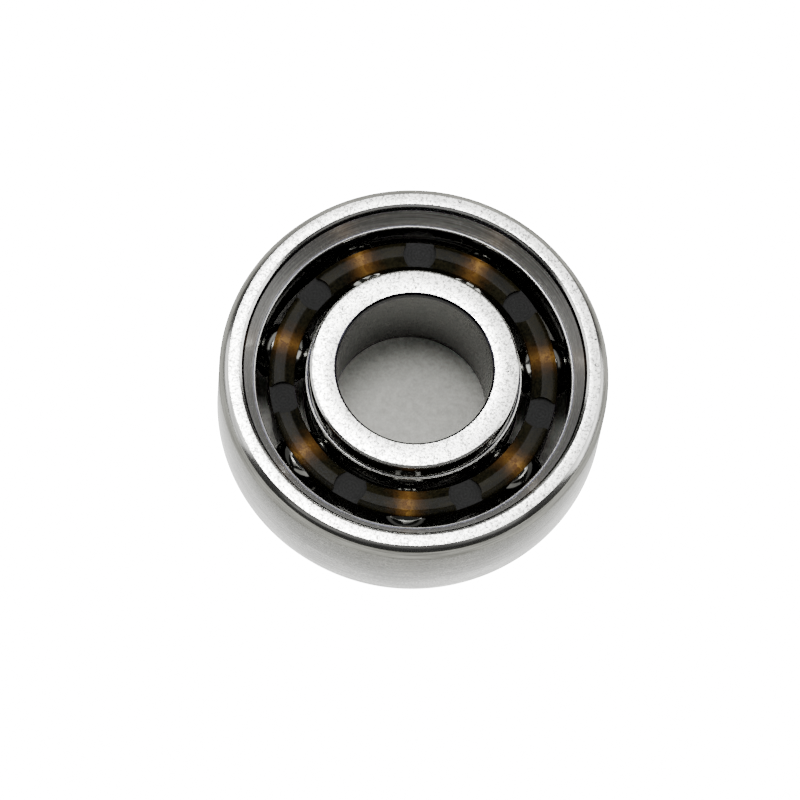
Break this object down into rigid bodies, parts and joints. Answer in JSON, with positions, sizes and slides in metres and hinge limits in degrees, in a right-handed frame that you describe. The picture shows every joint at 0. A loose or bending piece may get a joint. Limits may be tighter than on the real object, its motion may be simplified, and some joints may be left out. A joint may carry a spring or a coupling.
{
  "type": "ball bearing",
  "caption": "Open single-row deep-groove ball bearing: grooved outer and inner steel rings, steel balls, one-piece snap-in polymer cage; inner ring, cage and balls turn.",
  "frame": {"origin": "centre of the bearing, on its axis and midway between its faces", "axes": "+Z along the bearing axis towards the closed side of the cage; X and Y across; ball_1 lies on -Y"},
  "size_m": [0.015, 0.015, 0.005],
  "materials": {
    "ring_steel": "ground through-hardened bearing steel, fine speckled faces, honed raceways",
    "ball_steel": "mirror-lapped bearing steel",
    "cage_polymer": "translucent dark amber moulded polyamide, satin, glowing where thin over the balls"
  },
  "bodies": {
    "outer_ring": {"outer_ring": "ring_steel"},
    "inner_ring": {"inner_ring": "ring_steel"},
    "cage": {"cage": "cage_polymer"},
    "ball_1": {"ball_1": "ball_steel"},
    "ball_2": {"ball_2": "ball_steel"},
    "ball_3": {"ball_3": "ball_steel"},
    "ball_4": {"ball_4": "ball_steel"},
    "ball_5": {"ball_5": "ball_steel"},
    "ball_6": {"ball_6": "ball_steel"},
    "ball_7": {"ball_7": "ball_steel"}
  },
  "joints": [
    {"name": "inner_spin", "type": "hinge", "parent": "outer_ring", "child": "inner_ring", "pos_m": [0, 0, 0], "axis": [0, 0, 1], "continuous": true},
    {"name": "cage_spin", "type": "hinge", "parent": "outer_ring", "child": "cage", "pos_m": [0, 0, 0], "axis": [0, 0, 1], "continuous": true},
    {"name": "ball_1_spin", "type": "hinge", "parent": "cage", "child": "ball_1", "pos_m": [0, -0.00515, 0], "axis": [0, 0, 1], "continuous": true},
    {"name": "ball_2_spin", "type": "hinge", "parent": "cage", "child": "ball_2", "pos_m": [0.00403, -0.00321, 0], "axis": [0, 0, 1], "continuous": true},
    {"name": "ball_3_spin", "type": "hinge", "parent": "cage", "child": "ball_3", "pos_m": [0.00502, 0.00115, 0], "axis": [0, 0, 1], "continuous": true},
    {"name": "ball_4_spin", "type": "hinge", "parent": "cage", "child": "ball_4", "pos_m": [0.00223, 0.00464, 0], "axis": [0, 0, 1], "continuous": true},
    {"name": "ball_5_spin", "type": "hinge", "parent": "cage", "child": "ball_5", "pos_m": [-0.00223, 0.00464, 0], "axis": [0, 0, 1], "continuous": true},
    {"name": "ball_6_spin", "type": "hinge", "parent": "cage", "child": "ball_6", "pos_m": [-0.00502, 0.00115, 0], "axis": [0, 0, 1], "continuous": true},
    {"name": "ball_7_spin", "type": "hinge", "parent": "cage", "child": "ball_7", "pos_m": [-0.00403, -0.00321, 0], "axis": [0, 0, 1], "continuous": true}
  ],
  "couplings": [
    {"joint": "cage_spin", "follows": "inner_spin", "ratio": 0.38442},
    {"joint": "ball_1_spin", "follows": "inner_spin", "ratio": -2.0474},
    {"joint": "ball_2_spin", "follows": "inner_spin", "ratio": -2.0474},
    {"joint": "ball_3_spin", "follows": "inner_spin", "ratio": -2.0474},
    {"joint": "ball_4_spin", "follows": "inner_spin", "ratio": -2.0474},
    {"joint": "ball_5_spin", "follows": "inner_spin", "ratio": -2.0474},
    {"joint": "ball_6_spin", "follows": "inner_spin", "ratio": -2.0474},
    {"joint": "ball_7_spin", "follows": "inner_spin", "ratio": -2.0474}
  ]
}
